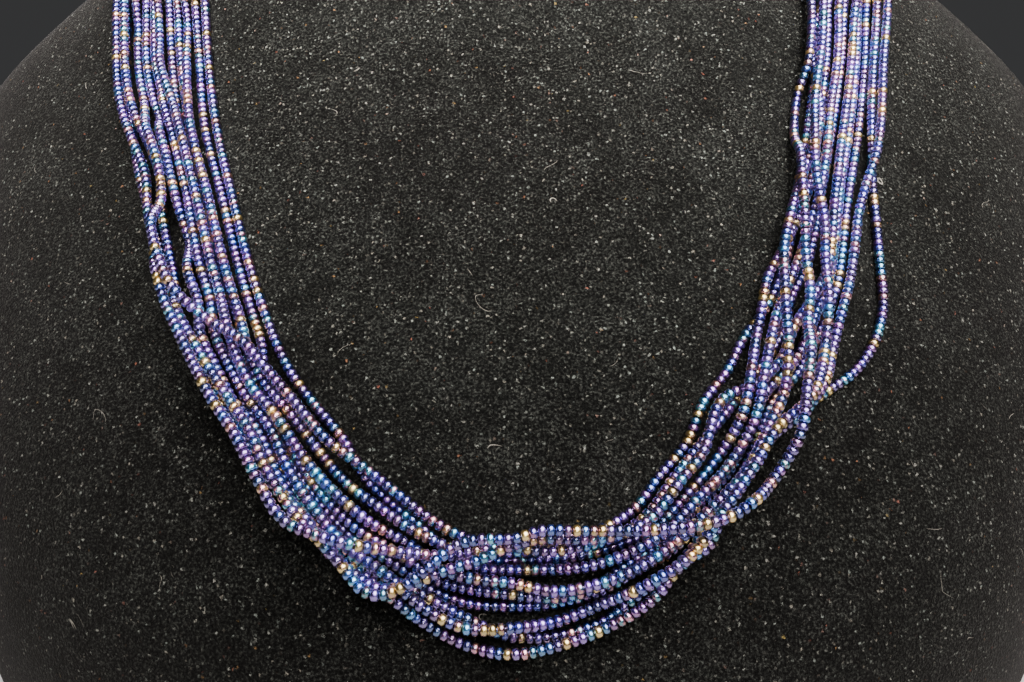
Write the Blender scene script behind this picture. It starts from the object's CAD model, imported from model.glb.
"""A multi strand necklace of small beads on a velvet neck bust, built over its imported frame."""

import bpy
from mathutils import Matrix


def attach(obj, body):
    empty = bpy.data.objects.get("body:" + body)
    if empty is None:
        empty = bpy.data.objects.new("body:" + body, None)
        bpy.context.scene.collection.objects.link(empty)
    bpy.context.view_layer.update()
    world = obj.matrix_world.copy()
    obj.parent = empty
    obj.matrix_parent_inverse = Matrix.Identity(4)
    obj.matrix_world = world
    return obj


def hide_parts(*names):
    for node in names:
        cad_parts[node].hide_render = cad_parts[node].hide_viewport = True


bl_info = {
    "name": "Bead Strand Necklace",
    "version": (1, 0, 0),
    "blender": (4, 5, 0),
    "location": "View3D > Sidebar > Necklace",
    "description": "Strings of small beads laid over a velvet neck bust, with a bar clasp",
    "category": "Object",
}

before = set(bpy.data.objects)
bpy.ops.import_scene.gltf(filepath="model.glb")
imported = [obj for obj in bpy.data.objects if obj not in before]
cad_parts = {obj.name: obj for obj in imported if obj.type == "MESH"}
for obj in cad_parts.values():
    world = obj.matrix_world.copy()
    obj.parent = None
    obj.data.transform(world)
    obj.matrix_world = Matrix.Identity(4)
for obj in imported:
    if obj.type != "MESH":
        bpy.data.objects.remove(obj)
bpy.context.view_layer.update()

import math

import bmesh
import bpy
from bpy.props import FloatProperty, FloatVectorProperty, IntProperty, PointerProperty
from mathutils import Matrix, Vector

MM = 0.001
BUST_SIDES, BUST_LEVELS, CAP_SHARE = 176, 128, 0.6
BEAD_SIDES, PATH_PARTS, FEWEST_FACES, SEED_STEP = 12, 4, 1000, 31
FLOOR_HALF, FLOOR_DROP = 6.0, 0.0005

# Level sections of the bust: height over the full height, half width over the half width,
# front depth over the full front depth, back depth over the full back depth.
SECTIONS = [
    (0.00, 0.74, 0.85, 0.84),
    (0.13, 0.86, 0.97, 0.95),
    (0.23, 0.93, 1.00, 1.00),
    (0.32, 0.985, 0.94, 1.00),
    (0.40, 1.00, 0.815, 1.00),
    (0.52, 0.99, 0.60, 0.97),
    (0.60, 0.945, 0.46, 0.90),
    (0.67, 0.80, 0.37, 0.83),
    (0.73, 0.62, 0.32, 0.80),
    (0.79, 0.45, 0.30, 0.80),
    (0.85, 0.35, 0.30, 0.82),
    (0.92, 0.315, 0.305, 0.84),
    (1.00, 0.31, 0.31, 0.86),
]
# The middle line of the necklace from the front centre to the nape, x, y and z in mm.
HALF_LINE = [
    (0, -109, 97), (13, -108, 99), (25, -104, 106), (36, -97, 116), (46, -89, 127),
    (55, -82, 137), (62, -75, 148), (68, -65, 162), (73, -54, 178), (77, -44, 195),
    (81, -34, 212), (84, -20, 230), (81, 0, 243), (70, 20, 250), (54, 35, 256),
    (36, 44, 262), (18, 50, 266), (0, 52, 268),
]
# One row of points for each strand: station along the necklace, slot across the bundle.
# Station 0 is the front centre and the ends lie at the clasp, slots count outward.
ROUTES = [
    [(-17, 3.15), (-14, 3.75), (-12, 5), (-10, 5.8), (-9, 6.1), (-8.5, 5.6), (-8, 4.4),
     (-7.5, 3.2), (-7, 3.2), (-6.5, 2.8), (-6, 2.1), (-5.5, 2.2), (-5, 2.2), (-4.5, 2.5),
     (-4, 2.8), (-3.5, 2.6), (-3, 2.9), (-2.5, 2.9), (-2.25, 1.9), (-2, 0.8), (-1.5, -1.1),
     (-1, -2.4), (-0.5, -3.4), (0, -3.9), (0.5, -3.4), (1, -3), (1.5, -2.2), (2, -1.8),
     (2.5, -2.1), (3, -2.1), (3.5, -1.8), (4, -1.6), (4.5, -1.4), (5, -1.6), (5.5, -2.2),
     (6, -1.9), (7, -2), (8, -1.6), (9, -1), (10, -1.3), (12, -1.8), (14, -1.5), (17, -1.5)],
    [(-17, 2), (-14, 2.6), (-12, 3.9), (-10, 4.8), (-9, 5.1), (-8.5, 4.5), (-8, 3.3), (-7.5, 2.2),
     (-7, 2.2), (-6, 2.1), (-5, 1.8), (-4.5, 1.8), (-4, 1.9), (-3.5, 1.7), (-3, 2.2), (-2.5, 2.3),
     (-2, 2), (-1.75, 2.3), (-1.6, 2.4), (-1.45, 2.1), (-1.3, 1), (-1.17, -0.5), (-1.05, -2),
     (-0.85, -3.4), (-0.5, -4.2), (0, -4.4), (0.5, -4.8), (1, -4.2), (1.5, -2.8), (2, -0.3),
     (2.5, 2.3), (2.75, 3), (3, 3.5), (3.25, 3.6), (3.5, 3.2), (4, 1.8), (4.5, 0.4), (5, -0.5),
     (5.5, -1.4), (6, -2.9), (6.5, -4.2), (7, -5.2), (8, -5.7), (9, -5.4), (10, -6.2), (12, -4.6),
     (14, -2.4), (17, -2)],
    [(-17, 1), (-14, 1.4), (-12, 2.7), (-10, 3.8), (-9, 4.1), (-8.5, 3.4), (-8, 2.2), (-7.5, 1.2),
     (-7, 1.2), (-6, 1.3), (-5.5, 0.9), (-5, -0.2), (-4.5, -1.6), (-4, -1.9), (-3.5, -2.3),
     (-3, -2.6), (-2.5, -3.6), (-2, -4.1), (-1.5, -4.2), (-1, -4.2), (-0.5, -4), (0, -3.5),
     (0.5, -3.8), (1, -4), (1.5, -3.2), (2, -2.8), (2.5, -3.1), (3, -3), (3.5, -3.8), (4, -3.6),
     (4.5, -4.1), (5, -3.9), (6, -3.9), (7, -4.4), (8, -4.2), (9, -3.8), (10, -4.2), (12, -3.4),
     (14, -2.5), (17, -2.5)],
    [(-17, 2.5), (-14, 3.2), (-12, 4.4), (-10, 5.3), (-9, 5.6), (-8, 4.8), (-7.5, 4.3), (-7, 3.6),
     (-6.5, 3.1), (-6, 3.1), (-5, 2.8), (-4, 2.8), (-3.5, 2.6), (-3, 2.6), (-2.5, 2.1), (-2, 2.3),
     (-1.75, 2.2), (-1.5, 1.9), (-1.2, 0.3), (-1, -1.1), (-0.5, -2.8), (0, -4), (0.5, -4.3),
     (1, -3.6), (1.5, -2.4), (2, -1.5), (2.5, -1.7), (3, -1.7), (3.2, -2.2), (3.4, -2.7),
     (3.6, -2.7), (3.75, -2.2), (3.85, -1.5), (4.1, -0.8), (4.5, -0.5), (5, -1), (6, -0.3),
     (7, -1), (8, -0.7), (9, -0.2), (10, -0.4), (12, 1.4), (14, 2.8), (17, 3)],
    [(-17, -2), (-14, -2), (-12, -3), (-10, -4.3), (-9, -3.9), (-8, -4.2), (-7, -4.8), (-6, -4.8),
     (-5, -4.2), (-4.5, -3.6), (-4, -3.1), (-3.5, -3.3), (-3, -3.6), (-2.5, -3.1), (-2, -3.2),
     (-1.5, -3.3), (-1, -2.7), (-0.5, -2.7), (0, -2.9), (0.5, -2.8), (1, -2.3), (1.5, -1.6),
     (2, -0.6), (2.5, -0.5), (3, -0.3), (3.5, -0.8), (4, -2.2), (4.5, -3.3), (5, -4.4),
     (5.5, -5.1), (6, -4.8), (7, -3.7), (8, -3.1), (9, -2.7), (10, -3.2), (12, -0.8), (14, 0.8),
     (17, 1)],
    [(-17, -1), (-14, -1), (-12, -1.4), (-10, -2), (-9, -1.8), (-8, -1.9), (-7, -2.8), (-6, -2.8),
     (-5, -2.2), (-4.5, -1.5), (-4, -1), (-3.5, -1.4), (-3, -1.4), (-2.5, -1.7), (-2, -2.4),
     (-1.5, -2.8), (-1, -3), (-0.5, -2.2), (0, -2.2), (0.5, -2), (1, -1.5), (1.5, -0.8), (2, 0),
     (2.5, 0.2), (3, 0.7), (3.5, 0.2), (4, -1.1), (4.5, -2.3), (5, -3), (6, -3), (7, -2.7),
     (8, -2.5), (9, -1.8), (10, -2.3), (12, 0.4), (14, 1.8), (17, 2)],
    [(-17, 0), (-14, 0), (-12, 0.4), (-10, 0.9), (-9, 1.1), (-8, -0.9), (-7, -1.8), (-6, -1.8),
     (-5, -1.2), (-4.5, -0.5), (-4, 0), (-3.5, -0.4), (-3, -0.3), (-2.5, -0.6), (-2, -1.1),
     (-1.5, -1.7), (-1, -1.4), (-0.5, -1.4), (0, -1.3), (0.5, -0.5), (1, -0.1), (1.5, 0.5), (2, 1),
     (2.5, 1.2), (3, 1.7), (3.5, 1.3), (4, 0.9), (4.5, -0.7), (5, -2.7), (5.5, -4.1), (6, -5),
     (6.5, -5.2), (7, -4.8), (8, -3.5), (9, -4.8), (10, -3.9), (12, -2), (14, 0), (17, 0)],
    [(-17, -2.5), (-14, -2.5), (-12, -2.4), (-10, -3.1), (-9, -2.9), (-8, -3), (-7, -3.8),
     (-6, -3.8), (-5, -3.1), (-4.5, -2.4), (-4, -0.7), (-3.5, 0), (-3, 0.3), (-2.5, 0.3),
     (-2, -0.1), (-1.5, -0.7), (-1, -0.4), (-0.5, -0.5), (0, -0.4), (0.5, 0.1), (1, 0.3), (1.5, 0),
     (2, 0.5), (2.5, 0.7), (3, 1.1), (3.5, 0.7), (4, 0.1), (4.5, 0.6), (5, 0.5), (5.5, 0.3),
     (6, 0.4), (7, -0.2), (8, 0.2), (9, 0.7), (10, 0.4), (12, 0.2), (14, -0.5), (17, -0.5)],
    [(-17, -1.5), (-14, -1.5), (-12, -1.2), (-10, -1), (-9, -0.8), (-8, -1.4), (-7, -2.3),
     (-6, -2.3), (-5, -1.7), (-4.5, -0.9), (-4, 0.3), (-3.5, 0.8), (-3, 1), (-2.5, 1), (-2, 0.8),
     (-1.5, 0.2), (-1, 0.5), (-0.5, 0.7), (0, 0.6), (0.5, 0.7), (1, 0.8), (1.5, 0.9), (2, 1.5),
     (2.5, 1.7), (3, 2.1), (3.5, 1.7), (4, 1.1), (4.5, 1.5), (5, 1.4), (6, 1.4), (7, 0.8),
     (8, 1.2), (9, 1.7), (10, 1.4), (12, 1.2), (14, 0.5), (17, 0.5)],
    [(-17, -0.5), (-14, -0.5), (-12, -0.1), (-10, 0), (-9, 0.2), (-8, -0.4), (-7, -1.3),
     (-6, -1.3), (-5, -0.7), (-4.5, 0.4), (-4, 1.3), (-3.5, 1.6), (-3, 2), (-2.5, 2), (-2, 1.8),
     (-1.5, 1.2), (-1, 1), (-0.5, 1.7), (0, 2.9), (0.5, 3.1), (1, 3), (1.5, 2.5), (2, 2.5),
     (2.5, 2.2), (3, 2.4), (3.5, 2.3), (4, 3.1), (4.5, 4.3), (5, 5.8), (5.5, 6.4), (6, 6.2),
     (6.5, 5), (7, 4), (7.5, 3.1), (8, 2.3), (9, 2.2), (10, 2.3), (12, 2), (14, 1.5), (17, 1.5)],
    [(-17, 0.5), (-14, 0.5), (-12, 1), (-10, 1.8), (-9, 2.1), (-8, 0.2), (-7, -0.8), (-6, -0.7),
     (-5.5, -0.6), (-5, 0.3), (-4.5, 0.6), (-4, 0.9), (-3.5, 0.6), (-3, 1.2), (-2.5, 1.4),
     (-2, 1.3), (-1.5, 0.9), (-1, 1.6), (-0.5, 2.2), (0, 1.9), (0.5, 1.9), (1, 1.6), (1.5, 1.7),
     (2, 2), (2.5, 1.8), (3, 1.8), (3.5, 1.7), (4, 2.7), (4.5, 2.4), (5, 1.8), (5.5, 0.4), (6, -1),
     (6.5, -2), (7, -3.5), (8, -4.6), (9, -4.3), (10, -5.1), (12, -3.4), (14, -1.2), (17, -1)],
    [(-17, 1.5), (-14, 1.5), (-12, 2), (-10, 2.8), (-9, 3.1), (-8.5, 2.4), (-8, 1.2), (-7, 0.2),
     (-6, 0.3), (-5.5, 0.3), (-5, 1.2), (-4.5, 1.5), (-4, 1.9), (-3.5, 1.6), (-3, 2.2),
     (-2.5, 2.4), (-2, 2.3), (-1.5, 2), (-1.2, 2.3), (-1, 2.8), (-0.5, 3.8), (0, 4), (0.5, 3.6),
     (1, 3.3), (1.5, 3), (2, 2.4), (2.25, 2.9), (2.5, 2.3), (3, 1.8), (3.5, 2.1), (4, 3.3),
     (4.5, 3.4), (5, 3), (5.5, 2.4), (6, 2.2), (7, 1.8), (8, 2.6), (9, 2.8), (10, 3), (12, 2.8),
     (14, 2.5), (17, 2.5)],
]
# Rows of ROUTES from the lowest strand to the top one, on the left of the first switch
# station, between the two, and on the right of the second.
LEFT_PILE = [8, 7, 9, 10, 11, 3, 4, 5, 6, 1, 0, 2]
FRONT_PILE = [4, 2, 8, 7, 9, 11, 5, 6, 10, 0, 3, 1]
RIGHT_PILE = [8, 7, 9, 11, 2, 0, 3, 4, 5, 6, 10, 1]
SWITCH = (-1.8, 2.8)
# Sizes in mm that the solids use too.
BUST_HEIGHT, BUST_WIDTH, BUST_FRONT, BUST_BACK = 320.0, 300.0, 112.0, 64.0
SQUARENESS, BUST_BEVEL = 2.3, 3.0
STRAND, STRAND_GAP, SLOT_PITCH, SEAT_GAP, CLIMB = 2.0, 0.1, 2.1, 0.3, 0.6
CLASP_LENGTH, CLASP_THICKNESS, CLASP_MARGIN, CLASP_GAP = 20.0, 4.0, 0.3, 0.4
RING_STEP, BACK_STEP, BACK_STATION = 8.5, 20.0, 10
TOUCH, CROSSING, CROSSING_ROOM, CROSSING_REACH = 0.975, 0.8, 1.05, 0.7
# A touch within this share of a segment's end lifts the ring at that end alone.
END_SHARE = 0.02
CONTACT = STRAND + STRAND_GAP
LAST = len(HALF_LINE) - 1
COUNT = 2 * LAST


# ---- the bust's surface

def section_at(z):
    """Half width, front depth and back depth of the bust at height z."""
    t = min(max(z / BUST_HEIGHT, 0.0), 1.0)
    i = max(n for n in range(len(SECTIONS) - 1) if SECTIONS[n][0] <= t)
    before, low = SECTIONS[max(i - 1, 0)], SECTIONS[i]
    high, after = SECTIONS[i + 1], SECTIONS[min(i + 2, len(SECTIONS) - 1)]
    h = high[0] - low[0]
    q = (t - low[0]) / h
    sizes = []
    for c, full in ((1, BUST_WIDTH / 2), (2, BUST_FRONT), (3, BUST_BACK)):
        rise = (high[c] - before[c]) / (high[0] - before[0])
        leave = (after[c] - low[c]) / (after[0] - low[0])
        sizes.append(full * hermite(low[c], high[c], rise, leave, h, q))
    return sizes


def hermite(a, b, ta, tb, h, q):
    """Smooth step from a to b over the length h, with the slopes ta and tb at its ends."""
    return ((2 * q ** 3 - 3 * q * q + 1) * a + (q ** 3 - 2 * q * q + q) * h * ta
            + (3 * q * q - 2 * q ** 3) * b + (q ** 3 - q * q) * h * tb)


def field(p):
    """Negative inside the bust and 0 on its surface."""
    wide, front, back = section_at(p[2])
    deep = front if p[1] < 0 else back
    return (abs(p[0]) / wide) ** SQUARENESS + (abs(p[1]) / deep) ** SQUARENESS - 1


def field_slope(p):
    """The field's slope at p, from its formula across and from a small step in height."""
    wide, front, back = section_at(p[2])
    deep = front if p[1] < 0 else back
    n = SQUARENESS
    e = 0.2
    return Vector((
        math.copysign(n * (abs(p[0]) / wide) ** (n - 1) / wide, p[0]),
        math.copysign(n * (abs(p[1]) / deep) ** (n - 1) / deep, p[1]),
        (field((p[0], p[1], p[2] + e)) - field((p[0], p[1], p[2] - e))) / (2 * e)))


def onto(p, steps):
    """The point of the surface near p."""
    p = Vector(p)
    for _ in range(steps):
        g = field_slope(p)
        p = p - g * (field(p) / g.length_squared)
    return p


def out_of(p):
    """The direction straight out of the bust at p."""
    return field_slope(p).normalized()


# ---- the middle line

def read(x, pairs):
    """Straight reading of a table of (x, y) pairs."""
    if x <= pairs[0][0]:
        return pairs[0][1]
    for (a, ya), (b, yb) in zip(pairs, pairs[1:]):
        if x <= b:
            return ya + (yb - ya) * (x - a) / (b - a)
    return pairs[-1][1]


def line_point(n):
    """Point n of the whole middle line, which is the half line and its mirror image."""
    x, y, z = HALF_LINE[abs(n)]
    return onto((-x if n < 0 else x, y, z), 4)


LINE = [line_point(n) for n in range(-LAST, LAST)]
LENGTHS = [0.0]
for n in range(COUNT):
    LENGTHS.append(LENGTHS[-1] + (LINE[(n + 1) % COUNT] - LINE[n]).length)
TO_LENGTH = [(n - LAST, LENGTHS[n]) for n in range(COUNT + 1)]
TO_STATION = [(LENGTHS[n], n - LAST) for n in range(COUNT + 1)]
END_LENGTH = CLASP_LENGTH / 2 + CLASP_GAP


def line_at(station):
    """The smooth middle line at a station, counted round the whole loop."""
    s = station + LAST
    i = math.floor(s)
    t = s - i
    a, b, c, d = (LINE[(i + j) % COUNT] for j in (-1, 0, 1, 2))
    return 0.5 * (2 * b + (c - a) * t + (2 * a - 5 * b + 4 * c - d) * t * t
                  + (3 * b - a - 3 * c + d) * t ** 3)


def across_at(station):
    """A point of the middle line on the bust, and the direction across the bundle there."""
    p = onto(line_at(station), 2)
    run = line_at(station + 0.05) - line_at(station - 0.05)
    return p, run.cross(out_of(p)).normalized()


def seat_at(length, offset):
    """The place on the bust at a length along the necklace and an offset across it."""
    p, across = across_at(read(length, TO_STATION))
    return onto(p + across * offset, 3)


# ---- the strands

def turns_of(points, ends=None):
    """Lengths of the steps between points, and the direction of the path at each point."""
    gaps = [(b - a).length for a, b in zip(points, points[1:])]
    steps = [(b - a) / gap for a, b, gap in zip(points, points[1:], gaps)]
    first, last = ends or (steps[0], steps[-1])
    turns = [first]
    for come, go, before, after in zip(steps, steps[1:], gaps, gaps[1:]):
        turns.append((come * after + go * before) / (after + before))
    return gaps, turns + [last]


def rings_of(route):
    """Places of a strand's rings, as length along the necklace and offset across it."""
    pts = []
    for station, slot in route:
        length = min(max(read(station, TO_LENGTH), END_LENGTH), LENGTHS[-1] - END_LENGTH)
        pts.append(Vector((length, slot * SLOT_PITCH)))
    along = Vector((1, 0))
    gaps, turns = turns_of(pts, (along, along))
    rings = []
    for i, gap in enumerate(gaps):
        back = min(abs(route[i][0]), abs(route[i + 1][0])) >= BACK_STATION
        n = max(1, math.ceil(gap / (BACK_STEP if back else RING_STEP) - 0.2))
        for j in range(n):
            rings.append(hermite(pts[i], pts[i + 1], turns[i], turns[i + 1], gap, j / n))
    return rings + [pts[-1]]


def near_point(p, a, b):
    """Share along the segment from a to b where p is closest, and that distance."""
    d = b - a
    t = min(max((p - a).dot(d) / d.length_squared, 0.0), 1.0)
    return t, (p - a - d * t).length


def near_segment(p1, q1, p2, q2):
    """Shares along two segments where they are closest, and that distance."""
    d1, d2, r = q1 - p1, q2 - p2, p1 - p2
    a, e, f, c, b = d1.dot(d1), d2.dot(d2), d2.dot(r), d1.dot(r), d1.dot(d2)
    den = a * e - b * b
    s = min(max((b * f - c * e) / den, 0.0), 1.0) if den > 1e-6 else 0.0
    t = (b * s + f) / e
    if t < 0:
        t, s = 0.0, min(max(-c / a, 0.0), 1.0)
    elif t > 1:
        t, s = 1.0, min(max((b - c) / a, 0.0), 1.0)
    return s, t, (p1 + d1 * s - p2 - d2 * t).length


def rank(strand, station):
    """Place of a strand in the pile at a station, from the lowest strand up."""
    pile = LEFT_PILE if station < SWITCH[0] else RIGHT_PILE if station > SWITCH[1] else FRONT_PILE
    return pile.index(strand)


def rise_for(distance):
    """How much higher the upper of two strands lies, whose seats are this far apart."""
    deep = min(max((1 - distance / CONTACT) / (1 - CROSSING), 0.0), 1.0)
    room = CONTACT * (1 + (CROSSING_ROOM - 1) * deep)
    return math.sqrt(room * room - distance * distance)


def hits(a, b, i, j):
    """Places where segment i of strand a and segment j of strand b come too close."""
    s, t, d = near_segment(a[i], a[i + 1], b[j], b[j + 1])
    wa = CONTACT * CROSSING_REACH / (a[i + 1] - a[i]).length
    wb = CONTACT * CROSSING_REACH / (b[j + 1] - b[j]).length
    found = [(s, t, d), (max(s - wa, 0), max(t - wb, 0), d), (min(s + wa, 1), min(t + wb, 1), d)]
    for n in (0, 1):
        t, d = near_point(a[i + n], b[j], b[j + 1])
        found.append((n, t, d))
        s, d = near_point(b[j + n], a[i], a[i + 1])
        found.append((s, n, d))
    return [c for c in found if c[2] < CONTACT * TOUCH]


def contacts(seats, stations):
    """For each ring of each strand: lower strand, its segment, share along that, rise."""
    middles = [[(a + b) / 2 for a, b in zip(s, s[1:])] for s in seats]
    reach = [[(b - a).length / 2 for a, b in zip(s, s[1:])] for s in seats]
    touches = [[[] for _ in s] for s in seats]
    for a in range(len(seats)):
        for b in range(a + 1, len(seats)):
            for i, middle in enumerate(middles[a]):
                for j, other in enumerate(middles[b]):
                    limit = reach[a][i] + reach[b][j] + CONTACT
                    if abs(middle.z - other.z) > limit or (middle - other).length > limit:
                        continue
                    for s, t, d in hits(seats[a], seats[b], i, j):
                        station = stations[a][i] * (1 - s) + stations[a][i + 1] * s
                        up, ring, low, segment, on, under = (a, i, b, j, s, t)
                        if rank(a, station) < rank(b, station):
                            up, ring, low, segment, on, under = (b, j, a, i, t, s)
                        if on < 1 - END_SHARE:
                            touches[up][ring].append((low, segment, under, rise_for(d)))
                        if on > END_SHARE:
                            touches[up][ring + 1].append((low, segment, under, rise_for(d)))
    return touches


def lay_strands():
    """Centre points of every strand's rings, each strand resting on what lies under it."""
    rings = [rings_of(route) for route in ROUTES]
    seats = [[seat_at(*q) for q in r] for r in rings]
    stations = [[read(q[0], TO_STATION) for q in r] for r in rings]
    touches = contacts(seats, stations)
    own = []
    for s in seats:
        bulges = [0.0]
        for a, b in zip(s, s[1:]):
            m = (a + b) / 2
            bulges.append((onto(m, 2) - m).length if field(m) < 0 else 0.0)
        bulges.append(0.0)
        own.append([SEAT_GAP + STRAND / 2 + max(bulges[i], bulges[i + 1]) for i in range(len(s))])
    heights = [list(h) for h in own]
    for n in 2 * (LEFT_PILE + FRONT_PILE + RIGHT_PILE):
        h = list(own[n])
        for i, touching in enumerate(touches[n]):
            for low, segment, t, rise in touching:
                under = heights[low]
                h[i] = max(h[i], under[segment] * (1 - t) + under[segment + 1] * t + rise)
        gaps = [(b - a).length for a, b in zip(seats[n], seats[n][1:])]
        for i in range(1, len(h)):
            h[i] = max(h[i], h[i - 1] - CLIMB * gaps[i - 1])
        for i in range(len(h) - 2, -1, -1):
            h[i] = max(h[i], h[i + 1] - CLIMB * gaps[i])
        heights[n] = h
    return [[p + out_of(p) * h for p, h in zip(s, row)] for s, row in zip(seats, heights)]


def smooth_path(points, parts):
    """A smooth path through the points, with parts steps from each to the next, in metres."""
    gaps, turns = turns_of(points)
    path = []
    for i, gap in enumerate(gaps):
        for j in range(parts):
            step = hermite(points[i], points[i + 1], turns[i], turns[i + 1], gap, j / parts)
            path.append(step * MM)
    return path + [points[-1] * MM]


# ---- helpers for materials, trees and objects

def srgb(hex_code):
    """Linear colour from an sRGB hex code."""
    values = [int(hex_code[i:i + 2], 16) / 255 for i in (1, 3, 5)]
    linear = (v / 12.92 if v <= 0.04045 else ((v + 0.055) / 1.055) ** 2.4 for v in values)
    return tuple(linear) + (1.0,)


def add_node(tree, kind, settings=None, inputs=None, links=None):
    """Add a node with its settings, its input values and the sockets that feed it."""
    node = tree.nodes.new(kind)
    for name, value in (settings or {}).items():
        setattr(node, name, value)
    for name, value in (inputs or {}).items():
        node.inputs[name].default_value = value
    for name, socket in (links or {}).items():
        tree.links.new(socket, node.inputs[name])
    return node


def add_math(tree, operation, *terms, clamp=False):
    """Add a sum over numbers and sockets, and give back its result."""
    node = add_node(tree, "ShaderNodeMath", {"operation": operation, "use_clamp": clamp})
    for index, term in enumerate(terms):
        feed(tree, node.inputs[index], term)
    return node.outputs["Value"]


def feed(tree, socket, value):
    """Set a socket to a number, or link another socket to it."""
    if isinstance(value, float):
        socket.default_value = value
    else:
        tree.links.new(value, socket)


def add_range(tree, value, start, end, low, high, clamp=True):
    """Add a map from start..end to low..high, and give back its result."""
    return add_node(tree, "ShaderNodeMapRange", {"clamp": clamp},
                    {"From Min": start, "From Max": end, "To Min": low, "To Max": high},
                    {"Value": value}).outputs["Result"]


def add_noise(tree, place, size, detail, inputs=None):
    """Add a noise with features about size metres across, and give back its node."""
    return add_node(tree, "ShaderNodeTexNoise", None,
                    {"Scale": 1 / size, "Detail": detail, **(inputs or {})}, {"Vector": place})


def add_ramp(tree, factor, stops):
    """Add a colour ramp of (place, hex code) stops, and give back its colour."""
    node = add_node(tree, "ShaderNodeValToRGB", None, None, {"Fac": factor})
    elements = node.color_ramp.elements
    while len(elements) > 1:
        elements.remove(elements[-1])
    elements[0].position, elements[0].color = stops[0][0], srgb(stops[0][1])
    for place, code in stops[1:]:
        elements.new(place).color = srgb(code)
    return node.outputs["Color"]


def add_bump(tree, height, strength, distance):
    """Add a bump of the given height map, and give back its normal."""
    return add_node(tree, "ShaderNodeBump", None, {"Strength": strength, "Distance": distance},
                    {"Height": height}).outputs["Normal"]


def add_surface(tree, inputs, links):
    """Add the surface shader and the output that shows it."""
    shader = add_node(tree, "ShaderNodeBsdfPrincipled", None, inputs, links)
    add_node(tree, "ShaderNodeOutputMaterial", None, None, {"Surface": shader.outputs["BSDF"]})


def new_material(name):
    """A new material with an empty tree, the tree, and the place on the piece."""
    material = bpy.data.materials.new(name)
    material.use_nodes = True
    tree = material.node_tree
    tree.nodes.clear()
    return material, tree, add_node(tree, "ShaderNodeTexCoord").outputs["Object"]


def new_object(name, mesh):
    piece = bpy.data.objects.new(name, mesh)
    bpy.context.scene.collection.objects.link(piece)
    return piece


def add_skin(bm, rings):
    """Four-sided faces from each ring of corners to the next."""
    for a, b in zip(rings, rings[1:]):
        for j in range(len(a)):
            k = (j + 1) % len(a)
            bm.faces.new((a[j], a[k], b[k], b[j]))


def closed_mesh(bm, name, flat_caps=False):
    """A closed mesh with its faces outward, smooth but for caps that stay flat."""
    bmesh.ops.remove_doubles(bm, verts=bm.verts, dist=1e-7)
    bmesh.ops.recalc_face_normals(bm, faces=bm.faces)
    mesh = bpy.data.meshes.new(name)
    bm.to_mesh(mesh)
    bm.free()
    smooth = [len(p.vertices) == 4 or not flat_caps for p in mesh.polygons]
    mesh.polygons.foreach_set("use_smooth", smooth)
    return mesh


def dress(piece, node, material):
    """Give a piece its finish and let it stand for its solid."""
    piece.data.materials.clear()
    piece.data.materials.append(material)
    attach(piece, "root")
    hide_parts(node)


# ---- the neck bust

def bust_level(height, inset, nap):
    """One level ring of the bust, in metres, standing nap outside the true surface."""
    wide, front, back = section_at(height)
    ring = []
    for j in range(BUST_SIDES):
        a = 2 * math.pi * (j + 0.5) / BUST_SIDES
        c, d = math.cos(a), math.sin(a)
        deep = (front if d < 0 else back) - inset + nap
        power = 2 / SQUARENESS
        ring.append(Vector(((wide - inset + nap) * math.copysign(abs(c) ** power, c),
                            deep * math.copysign(abs(d) ** power, d), height)) * MM)
    return ring


def bust_mesh(nap):
    """The bust as level rings, with a rounded lower edge and a rounded top edge."""
    turns = [math.radians(15 * i) for i in range(7)]
    low = [(BUST_BEVEL * (1 - math.sin(t)), BUST_BEVEL * (1 - math.cos(t))) for t in turns]
    heights = [(z, inset) for inset, z in low]
    step = (BUST_HEIGHT - 2 * BUST_BEVEL) / BUST_LEVELS
    heights += [(BUST_BEVEL + step * i, 0.0) for i in range(1, BUST_LEVELS)]
    heights += [(BUST_HEIGHT - z, inset) for inset, z in reversed(low)]
    bm = bmesh.new()
    rings = [[bm.verts.new(p) for p in bust_level(z, inset, nap)] for z, inset in heights]
    add_skin(bm, rings)
    for ring, height in ((rings[0], 0.0), (rings[-1], BUST_HEIGHT)):
        inner = [bm.verts.new((v.co.x * CAP_SHARE, v.co.y * CAP_SHARE, v.co.z)) for v in ring]
        centre = bm.verts.new((0.0, 0.0, height * MM))
        add_skin(bm, (ring, inner))
        for j in range(BUST_SIDES):
            bm.faces.new((inner[j], inner[(j + 1) % BUST_SIDES], centre))
    return closed_mesh(bm, "neck_bust_velvet")


# Pile colours from the shade between tufts to their tips, and the tints of the specks.
VELVET_COLOURS = ((0.34, "#010101"), (0.48, "#070707"), (0.58, "#151615"), (0.70, "#2c2d2b"))
SPECK_COLOURS = ((0.0, "#6e6c68"), (0.5, "#5e6360"), (0.93, "#6a655e"), (0.96, "#683c34"),
                 (1.0, "#6a5c36"))


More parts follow.
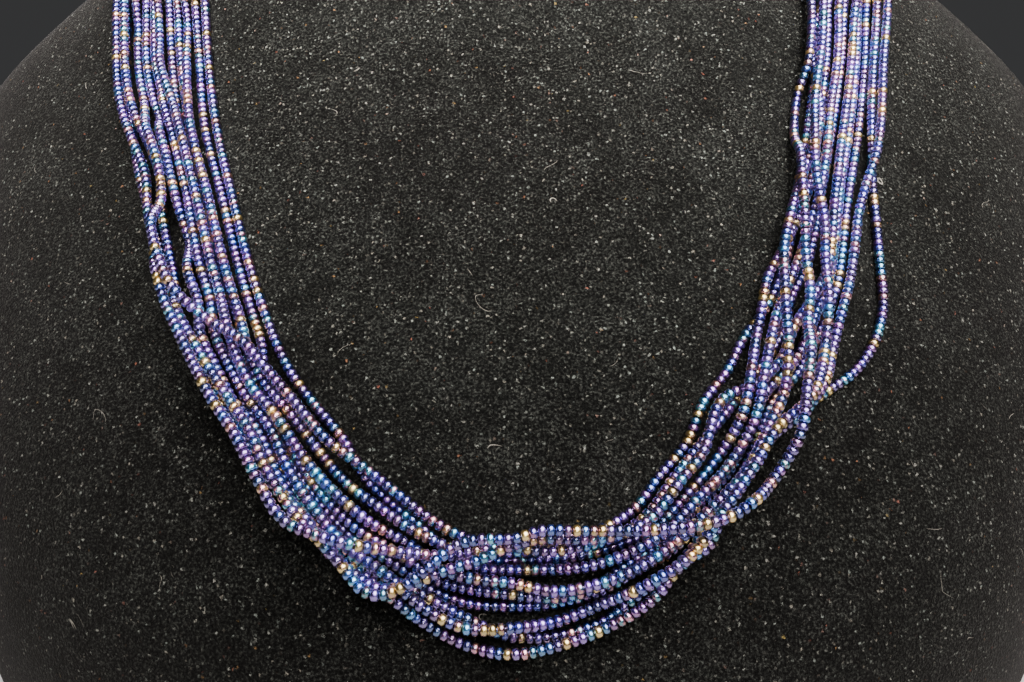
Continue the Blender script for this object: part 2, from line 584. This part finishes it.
def velvet_material(props):
    """Black cotton velvet, a woven cloth with a short cut pile stretched over the bust. It
    swallows light face on, turns paler where the pile is seen edge on, and holds specks of
    dust and a few lint fibres."""
    material, tree, place = new_material("black cotton velvet")
    # Pile tufts are about 0.3 mm apart, drawn at 0.5 mm so that they show.
    pile = add_noise(tree, place, 0.0005, 2.0, {"Roughness": 0.7})
    ground = add_ramp(tree, pile.outputs["Fac"], VELVET_COLOURS)
    # Strokes in the nap, some 20 mm wide, where the pile lies one way or the other.
    strokes = add_noise(tree, place, 0.022, 4.0, {"Roughness": 0.6, "Distortion": 1.2})
    stroke_tone = add_ramp(tree, strokes.outputs["Fac"], ((0.32, "#a8a7a6"), (0.66, "#ffffff")))
    nap = add_node(tree, "ShaderNodeMix", {"data_type": "RGBA", "blend_type": "MULTIPLY"},
                   {"Factor": 1.0}, {"A": ground, "B": stroke_tone})
    # Tuft tips that catch the light and dust specks, about 0.3 mm across and 0.8 mm apart,
    # each with its own uneven outline, brightness and faint tint.
    ragged = add_node(tree, "ShaderNodeVectorMath", {"operation": "MULTIPLY_ADD"},
                      {1: (0.0012, 0.0012, 0.0012)}, {0: pile.outputs["Color"], 2: place})
    cells = add_node(tree, "ShaderNodeTexVoronoi", {"feature": "F1"},
                     {"Scale": 1 / 0.0008, "Randomness": 1.0}, {"Vector": ragged.outputs["Vector"]})
    speck = add_range(tree, cells.outputs["Distance"], 0.1, 0.4, 1.0, 0.0)
    chance = add_node(tree, "ShaderNodeSeparateColor", None, None,
                      {"Color": cells.outputs["Color"]})
    bright = add_math(tree, "POWER", chance.outputs["Red"], 7.0)
    specks = add_math(tree, "MULTIPLY", speck, bright)
    tint = add_ramp(tree, chance.outputs["Green"], SPECK_COLOURS)
    dusty = add_node(tree, "ShaderNodeMix", {"data_type": "RGBA"}, None,
                     {"Factor": specks, "A": nap.outputs["Result"], "B": tint})
    # Lint fibres: thin wavering lines, each some 4 to 8 mm long and far apart.
    wander = add_noise(tree, place, 0.011, 1.0, {"Distortion": 0.6})
    away = add_math(tree, "ABSOLUTE", add_math(tree, "SUBTRACT", wander.outputs["Fac"], 0.5))
    line = add_range(tree, away, 0.001, 0.003, 0.8, 0.0)
    spot = add_noise(tree, place, 0.007, 0.0)
    lint = add_math(tree, "MULTIPLY", line,
                    add_range(tree, spot.outputs["Fac"], 0.74, 0.78, 0.0, 1.0))
    linty = add_node(tree, "ShaderNodeMix", {"data_type": "RGBA"}, {"B": srgb("#6f6b66")},
                     {"Factor": lint, "A": dusty.outputs["Result"]})
    add_surface(tree, {"Roughness": 0.95, "IOR": 1.45, "Specular IOR Level": 0.05,
                       "Sheen Weight": props.velvet_sheen, "Sheen Roughness": 0.45,
                       "Sheen Tint": srgb("#8b8688")},
                {"Base Color": linty.outputs["Result"],
                 "Normal": add_bump(tree, pile.outputs["Fac"], 0.8, 0.0004)})
    return material


# ---- the strands of beads

def bead_shape(props):
    """One seed bead, a short tube rounded at both rims, with its hole along Z."""
    half, radius, hole = props.bead_length / 2, props.bead_width / 2, props.bead_hole / 2
    profile = [(hole, -0.9 * half), (0.65 * radius, -half), (radius, -0.52 * half),
               (radius, 0.52 * half), (0.65 * radius, half), (hole, 0.9 * half)]
    bm = bmesh.new()
    rings = []
    for j in range(BEAD_SIDES):
        a = 2 * math.pi * j / BEAD_SIDES
        rings.append([bm.verts.new((r * math.cos(a), r * math.sin(a), z)) for r, z in profile])
    for j in range(BEAD_SIDES):
        here, there = rings[j], rings[(j + 1) % BEAD_SIDES]
        for k in range(len(profile)):
            n = (k + 1) % len(profile)
            bm.faces.new((here[k], there[k], there[n], here[n]))
    return closed_mesh(bm, "seed_bead")


def beading_tree():
    """A tree that threads beads on a path: sizes come in by name, and it ends in a mesh."""
    tree = bpy.data.node_groups.new("thread beads on a path", "GeometryNodeTree")
    face = tree.interface
    face.new_socket("Geometry", in_out="OUTPUT", socket_type="NodeSocketGeometry")
    face.new_socket("Geometry", in_out="INPUT", socket_type="NodeSocketGeometry")
    for name, kind in (("Bead", "NodeSocketObject"), ("Pitch", "NodeSocketFloat"),
                       ("Width Spread", "NodeSocketFloat"), ("Length Spread", "NodeSocketFloat"),
                       ("Tilt", "NodeSocketFloat"), ("Thread Width", "NodeSocketFloat"),
                       ("Seed", "NodeSocketInt"), ("Finish", "NodeSocketMaterial")):
        face.new_socket(name, in_out="INPUT", socket_type=kind)
    given = add_node(tree, "NodeGroupInput").outputs
    path = add_node(tree, "GeometryNodeMeshToCurve", None, None, {"Mesh": given["Geometry"]})
    half = add_math(tree, "MULTIPLY", given["Pitch"], 0.5)
    whole = add_node(tree, "GeometryNodeCurveLength", None, None, {"Curve": path.outputs["Curve"]})
    trimmed = add_node(tree, "GeometryNodeTrimCurve", {"mode": "LENGTH"}, None,
                       {"Curve": path.outputs["Curve"]})
    # Inputs 4 and 5 are the trim's start and end as lengths.
    tree.links.new(half, trimmed.inputs[4])
    tree.links.new(add_math(tree, "SUBTRACT", whole.outputs["Length"], half), trimmed.inputs[5])
    spots = add_node(tree, "GeometryNodeCurveToPoints", {"mode": "LENGTH"}, None,
                     {"Curve": trimmed.outputs["Curve"], "Length": given["Pitch"]})

    def chance(low, high, shift):
        """A number for each bead between low and high, fixed by the seed and a shift."""
        node = add_node(tree, "FunctionNodeRandomValue", {"data_type": "FLOAT"}, None,
                        {"Seed": add_math(tree, "ADD", given["Seed"], float(shift))})
        feed(tree, node.inputs[2], low)
        feed(tree, node.inputs[3], high)
        return node.outputs[1]

    def combined(x, y, z):
        node = add_node(tree, "ShaderNodeCombineXYZ", None, None, {"X": x, "Y": y, "Z": z})
        return node.outputs["Vector"]

    back_tilt = add_math(tree, "MULTIPLY", given["Tilt"], -1.0)
    turn = combined(chance(back_tilt, given["Tilt"], 11), chance(back_tilt, given["Tilt"], 12),
                    chance(0.0, 6.283, 13))
    turned = add_node(tree, "FunctionNodeRotateRotation", {"rotation_space": "LOCAL"}, None,
                      {"Rotation": spots.outputs["Rotation"], "Rotate By": turn})
    wide = chance(add_math(tree, "SUBTRACT", 1.0, given["Width Spread"]), 1.0, 14)
    long = chance(add_math(tree, "SUBTRACT", 1.0, given["Length Spread"]), 1.0, 15)
    beads = add_node(tree, "GeometryNodeInstanceOnPoints", None, None,
                     {"Points": spots.outputs["Points"], "Rotation": turned.outputs["Rotation"],
                      "Scale": combined(wide, wide, long)})
    shape = add_node(tree, "GeometryNodeObjectInfo", None, None, {"Object": given["Bead"]})
    tree.links.new(shape.outputs["Geometry"], beads.inputs["Instance"])
    marked = beads.outputs["Instances"]
    for name, shift in (("iris", 21), ("tone", 22)):
        store = add_node(tree, "GeometryNodeStoreNamedAttribute",
                         {"data_type": "FLOAT", "domain": "INSTANCE"}, {"Name": name},
                         {"Geometry": marked, "Value": chance(0.0, 1.0, shift)})
        marked = store.outputs["Geometry"]
    ring = add_node(tree, "GeometryNodeCurvePrimitiveCircle", {"mode": "RADIUS"},
                    {"Resolution": 6}, {"Radius": given["Thread Width"]})
    sparse = add_node(tree, "GeometryNodeResampleCurve", {"mode": "LENGTH"}, {"Length": 0.003},
                      {"Curve": path.outputs["Curve"]})
    thread = add_node(tree, "GeometryNodeCurveToMesh", None, {"Fill Caps": True},
                      {"Curve": sparse.outputs["Curve"], "Profile Curve": ring.outputs["Curve"]})
    joined = add_node(tree, "GeometryNodeJoinGeometry")
    tree.links.new(thread.outputs["Mesh"], joined.inputs[0])
    tree.links.new(marked, joined.inputs[0])
    real = add_node(tree, "GeometryNodeRealizeInstances", None, None,
                    {"Geometry": joined.outputs["Geometry"]})
    finish = add_node(tree, "GeometryNodeSetMaterial", None, None,
                      {"Geometry": real.outputs["Geometry"], "Material": given["Finish"]})
    add_node(tree, "NodeGroupOutput", None, None, {"Geometry": finish.outputs["Geometry"]})
    return tree


def iris_material(props):
    """Iris glass, dark pressed glass beads fumed with metal salts while hot. Each bead gets
    its own film colour from violet through blue and teal to gold, with a mirror-like skin."""
    material, tree, place = new_material("iris glass beads")
    iris, tone = (add_node(tree, "ShaderNodeAttribute", {"attribute_name": name}).outputs["Fac"]
                  for name in ("iris", "tone"))
    # The film's thickness wanders over a bead, in patches of about 0.9 mm.
    film = add_noise(tree, place, 0.0009, 1.0, {"Roughness": 0.5}).outputs["Fac"]
    drift = add_range(tree, film, 0.3, 0.7, -props.film_drift, props.film_drift, clamp=False)
    colour = add_ramp(tree, add_math(tree, "ADD", iris, drift, clamp=True), IRIS_COLOURS)
    toned = add_node(tree, "ShaderNodeVectorMath", {"operation": "SCALE"}, None,
                     {0: colour, "Scale": add_range(tree, tone, 0.0, 1.0, 0.5, 1.25)})
    add_surface(tree, {"Metallic": 1.0, "IOR": 1.5, "Coat Weight": 1.0, "Coat Roughness": 0.16,
                       "Coat IOR": 1.9},
                {"Base Color": toned.outputs["Vector"],
                 "Roughness": add_range(tree, film, 0.3, 0.7, 0.24, 0.36)})
    return material


# Film colours of the beads, each from its own share of all the beads upward.
IRIS_COLOURS = (
    (0.00, "#5c48a0"), (0.12, "#8068b8"), (0.24, "#6c489a"), (0.34, "#8f5a98"), (0.40, "#443c9c"),
    (0.52, "#343e94"), (0.62, "#365aa8"), (0.70, "#3e80bc"), (0.77, "#48a4b8"), (0.82, "#a06088"),
    (0.88, "#c08a84"), (0.93, "#d2b068"), (1.00, "#c4aa68"),
)


def string_beads(name, path, seed, props, tree, bead, material):
    """A plain mesh of one strand: its beads and its thread along a path."""
    mesh = bpy.data.meshes.new(name + "_path")
    mesh.from_pydata(path, [(i, i + 1) for i in range(len(path) - 1)], [])
    piece = new_object(name, mesh)
    beading = piece.modifiers.new("beading", "NODES")
    beading.node_group = tree
    values = {"Bead": bead, "Pitch": props.bead_pitch, "Width Spread": props.width_spread,
              "Length Spread": props.length_spread, "Tilt": props.bead_tilt,
              "Thread Width": props.thread_width / 2, "Seed": seed, "Finish": material}
    for item in tree.interface.items_tree:
        if item.in_out == "INPUT" and item.name in values:
            beading[item.identifier] = values[item.name]
    bpy.context.view_layer.update()
    graph = bpy.context.evaluated_depsgraph_get()
    made = bpy.data.meshes.new_from_object(piece.evaluated_get(graph),
                                           preserve_all_data_layers=True, depsgraph=graph)
    made.name = name + "_beads"
    piece.modifiers.remove(beading)
    piece.data = made
    bpy.data.meshes.remove(mesh)
    return piece


# ---- the clasp

def clasp_mesh():
    """A flat bar across the nape with rounded edges, a plain piece of satin metal."""
    total = LENGTHS[-1]
    middle = SLOT_PITCH / 4
    half = 3 * SLOT_PITCH + STRAND / 2 - middle + CLASP_MARGIN
    low, high = SEAT_GAP, SEAT_GAP + CLASP_THICKNESS
    radius = CLASP_THICKNESS / 5
    profile = []
    for x, z, start in ((half - radius, high - radius, 0), (radius - half, high - radius, 90),
                        (radius - half, low + radius, 180), (half - radius, low + radius, 270)):
        for i in range(5):
            a = math.radians(start + 22.5 * i)
            profile.append((x + radius * math.cos(a), z + radius * math.sin(a)))
    # Sections as a share of the length, each with how far it draws in for the rounded ends.
    shares = ((-0.5, 0.7), (-0.485, 0.25), (-0.46, 0.0), (-0.3, 0.0), (-0.1, 0.0),
              (0.1, 0.0), (0.3, 0.0), (0.46, 0.0), (0.485, 0.25), (0.5, 0.7))
    bm = bmesh.new()
    rings = []
    for share, inset in shares:
        length = share * CLASP_LENGTH
        station = (read(total + length, TO_STATION) if length < 0
                   else read(length, TO_STATION) + COUNT)
        p, across = across_at(station)
        spot = onto(p + across * middle, 3)
        out = out_of(spot)
        side = (across - out * across.dot(out)).normalized()
        ring = []
        for x, z in profile:
            x = x - math.copysign(inset, x)
            z = z + (inset if z < (low + high) / 2 else -inset)
            ring.append(bm.verts.new((spot + side * x + out * z) * MM))
        rings.append(ring)
    add_skin(bm, rings)
    for ring in (rings[0], rings[-1]):
        bm.faces.new(ring)
    return closed_mesh(bm, "bar_clasp", flat_caps=True)


def satin_material():
    """Satin nickel plate on brass, tumbled: a soft grey shine with fine brushed lines."""
    material, tree, place = new_material("satin nickel plate")
    # Brushed lines 0.15 mm apart, drawn ten times as long along the bar.
    lie = add_node(tree, "ShaderNodeMapping", None, {"Scale": (0.1, 1.0, 1.0)}, {"Vector": place})
    lines = add_noise(tree, lie.outputs["Vector"], 0.00015, 2.0, {"Roughness": 0.6}).outputs["Fac"]
    # A faint cloudy tarnish in patches of about 4 mm.
    tarnish = add_noise(tree, place, 0.004, 3.0, {"Roughness": 0.6}).outputs["Fac"]
    add_surface(tree, {"Metallic": 1.0},
                {"Base Color": add_ramp(tree, tarnish, ((0.35, "#9a978f"), (0.65, "#c3c1bb"))),
                 "Roughness": add_range(tree, lines, 0.3, 0.7, 0.26, 0.42),
                 "Normal": add_bump(tree, lines, 0.25, 0.00005)})
    return material


# ---- floor, lights and camera

def floor_material(props):
    """Matt pale paper, a plain sheet under the bust."""
    material, tree, place = new_material("pale matt paper")
    # A faint mottle, some 80 mm across.
    mottle = add_noise(tree, place, 1 / 12, 3.0)
    colour = add_node(tree, "ShaderNodeMix", {"data_type": "RGBA"},
                      {"A": tuple(props.floor_colour) + (1.0,), "B": srgb("#9c9b98")},
                      {"Factor": mottle.outputs["Fac"]})
    add_surface(tree, {"Roughness": 0.85}, {"Base Color": colour.outputs["Result"]})
    return material


def add_area_light(name, place, target, size, power, colour):
    """A round soft light at place, turned to the target."""
    data = bpy.data.lights.new(name, "AREA")
    data.shape = "DISK"
    data.size = size
    data.energy = power
    data.color = srgb(colour)[:3]
    lamp = bpy.data.objects.new(name, data)
    bpy.context.scene.collection.objects.link(lamp)
    lamp.location = place
    lamp.rotation_euler = (Vector(target) - Vector(place)).to_track_quat("-Z", "Y").to_euler()
    return lamp


# ---- the sizes and colours that a user would change

class NecklaceProperties(bpy.types.PropertyGroup):
    """Sizes and colours of the beads, the velvet and the light."""

    bead_width: FloatProperty(
        name="Bead width", description="Outside width of a bead", default=0.0021, unit="LENGTH")
    bead_length: FloatProperty(
        name="Bead length", description="Length of the longest bead along its hole",
        default=0.00142, unit="LENGTH")
    bead_hole: FloatProperty(
        name="Bead hole", description="Width of the hole through a bead",
        default=0.0008, unit="LENGTH")
    bead_pitch: FloatProperty(
        name="Bead spacing", description="Distance from one bead to the next on its thread",
        default=0.0014, unit="LENGTH")
    width_spread: FloatProperty(
        name="Width spread", description="How much narrower the narrowest bead is",
        default=0.10, subtype="FACTOR")
    length_spread: FloatProperty(
        name="Length spread", description="How much shorter the shortest bead is",
        default=0.16, subtype="FACTOR")
    bead_tilt: FloatProperty(
        name="Bead tilt", description="How far a bead may lean on its thread",
        default=0.12, subtype="ANGLE")
    thread_width: FloatProperty(
        name="Thread width", description="Width of the beading thread",
        default=0.0005, unit="LENGTH")
    film_drift: FloatProperty(
        name="Film drift", description="How much the film colour wanders over one bead",
        default=0.06, subtype="FACTOR")
    seed: IntProperty(
        name="Seed", description="Start of the random numbers for the beads", default=7)
    velvet_nap: FloatProperty(
        name="Nap", description="Height of the pile over the bust's form",
        default=0.0002, unit="LENGTH")
    velvet_sheen: FloatProperty(
        name="Velvet sheen", description="Strength of the pile's edge-on shine",
        default=0.12, subtype="FACTOR")
    floor_colour: FloatVectorProperty(
        name="Floor colour", description="Colour of the paper under the bust",
        default=(0.36, 0.355, 0.345), subtype="COLOR", size=3)
    key_power: FloatProperty(
        name="Key light", description="Strength of the soft light overhead",
        default=24.0, unit="POWER")


class NECKLACE_OT_neck_bust(bpy.types.Operator):
    """Make the neck bust and cover it with velvet"""

    bl_idname = "necklace.neck_bust"
    bl_label = "Neck bust"

    def execute(self, context):
        props = context.scene.necklace
        piece = new_object("velvet_neck_bust", bust_mesh(props.velvet_nap / MM))
        dress(piece, "neck_bust", velvet_material(props))
        return {"FINISHED"}


class NECKLACE_OT_strands(bpy.types.Operator):
    """String the beads of the twelve strands over the bust"""

    bl_idname = "necklace.strands"
    bl_label = "Bead strands"

    def execute(self, context):
        props = context.scene.necklace
        tree = beading_tree()
        material = iris_material(props)
        bead = new_object("seed_bead", bead_shape(props))
        for n, centres in enumerate(lay_strands()):
            name = f"bead_strand_{n + 1:02d}"
            piece = string_beads(name, smooth_path(centres, PATH_PARTS),
                                 props.seed + SEED_STEP * n, props, tree, bead, material)
            if len(piece.data.polygons) < FEWEST_FACES:
                raise RuntimeError(f"{name} got no beads")
            dress(piece, f"strand_{n + 1:02d}", material)
        shape = bead.data
        bpy.data.objects.remove(bead)
        bpy.data.meshes.remove(shape)
        return {"FINISHED"}


class NECKLACE_OT_clasp(bpy.types.Operator):
    """Make the bar clasp at the nape"""

    bl_idname = "necklace.clasp"
    bl_label = "Clasp"

    def execute(self, context):
        dress(new_object("bar_clasp", clasp_mesh()), "clasp", satin_material())
        return {"FINISHED"}


class NECKLACE_OT_stage(bpy.types.Operator):
    """Set the floor, the soft lights and the camera"""

    bl_idname = "necklace.stage"
    bl_label = "Floor, lights and camera"

    def execute(self, context):
        props = context.scene.necklace
        scene = context.scene
        bm = bmesh.new()
        bmesh.ops.create_grid(bm, x_segments=8, y_segments=8, size=FLOOR_HALF)
        mesh = bpy.data.meshes.new("paper_floor")
        bm.to_mesh(mesh)
        bm.free()
        mesh.transform(Matrix.Translation((0.0, 0.0, -FLOOR_DROP)))
        floor = new_object("paper_floor", mesh)
        mesh.materials.append(floor_material(props))
        world = bpy.data.worlds.new("soft room")
        scene.world = world
        world.use_nodes = True
        world.node_tree.nodes.clear()
        sky = add_node(world.node_tree, "ShaderNodeBackground", None,
                       {"Color": srgb("#e6e7ea"), "Strength": 0.05})
        add_node(world.node_tree, "ShaderNodeOutputWorld", None, None,
                 {"Surface": sky.outputs["Background"]})
        middle = (0.0, -0.09, 0.12)
        add_area_light("key light", (0.15, -0.4, 0.64), middle, 0.75, props.key_power, "#fffaf2")
        add_area_light("front fill", (0.3, -0.9, 0.45), middle, 0.6,
                       props.key_power * 0.02, "#eef1fc")
        add_area_light("back fill", (-0.35, 0.9, 0.5), (0.0, 0.05, 0.17), 0.7,
                       props.key_power * 0.8, "#f4f5fb")
        # A soft light with a grid, so that it reaches the upper strands alone.
        upper = add_area_light("upper light", (0.0, -0.5, 0.42), (0.0, -0.02, 0.36), 0.4,
                               props.key_power * 0.13, "#fffaf2")
        upper.data.spread = math.radians(26)
        data = bpy.data.cameras.new("camera")
        data.sensor_width, data.lens = 36.0, 28.125
        data.clip_start, data.clip_end = 0.01, 50.0
        camera = bpy.data.objects.new("camera", data)
        scene.collection.objects.link(camera)
        camera.location = (0.0, -0.235, 0.158)
        camera.rotation_euler = (math.radians(82.0), 0.0, 0.0)
        scene.camera = camera
        return {"FINISHED"}


class NECKLACE_PT_panel(bpy.types.Panel):
    """Sizes, colours and the steps that make the necklace"""

    bl_idname = "NECKLACE_PT_panel"
    bl_label = "Bead strand necklace"
    bl_space_type = "VIEW_3D"
    bl_region_type = "UI"
    bl_category = "Necklace"

    def draw(self, context):
        column = self.layout.column()
        for name in NecklaceProperties.__annotations__:
            column.prop(context.scene.necklace, name)
        for step in STEPS:
            column.operator(step.bl_idname)


STEPS = (NECKLACE_OT_neck_bust, NECKLACE_OT_strands, NECKLACE_OT_clasp, NECKLACE_OT_stage)
CLASSES = (NecklaceProperties,) + STEPS + (NECKLACE_PT_panel,)


def register():
    for one in CLASSES:
        bpy.utils.register_class(one)
    bpy.types.Scene.necklace = PointerProperty(type=NecklaceProperties)


def unregister():
    del bpy.types.Scene.necklace
    for one in reversed(CLASSES):
        bpy.utils.unregister_class(one)


def main():
    """Make every piece in turn and note the box of the solids and of the finished model."""
    register()
    bpy.ops.necklace.neck_bust()
    bpy.ops.necklace.strands()
    bpy.ops.necklace.clasp()
    bpy.ops.necklace.stage()


if __name__ == "__main__":
    main()
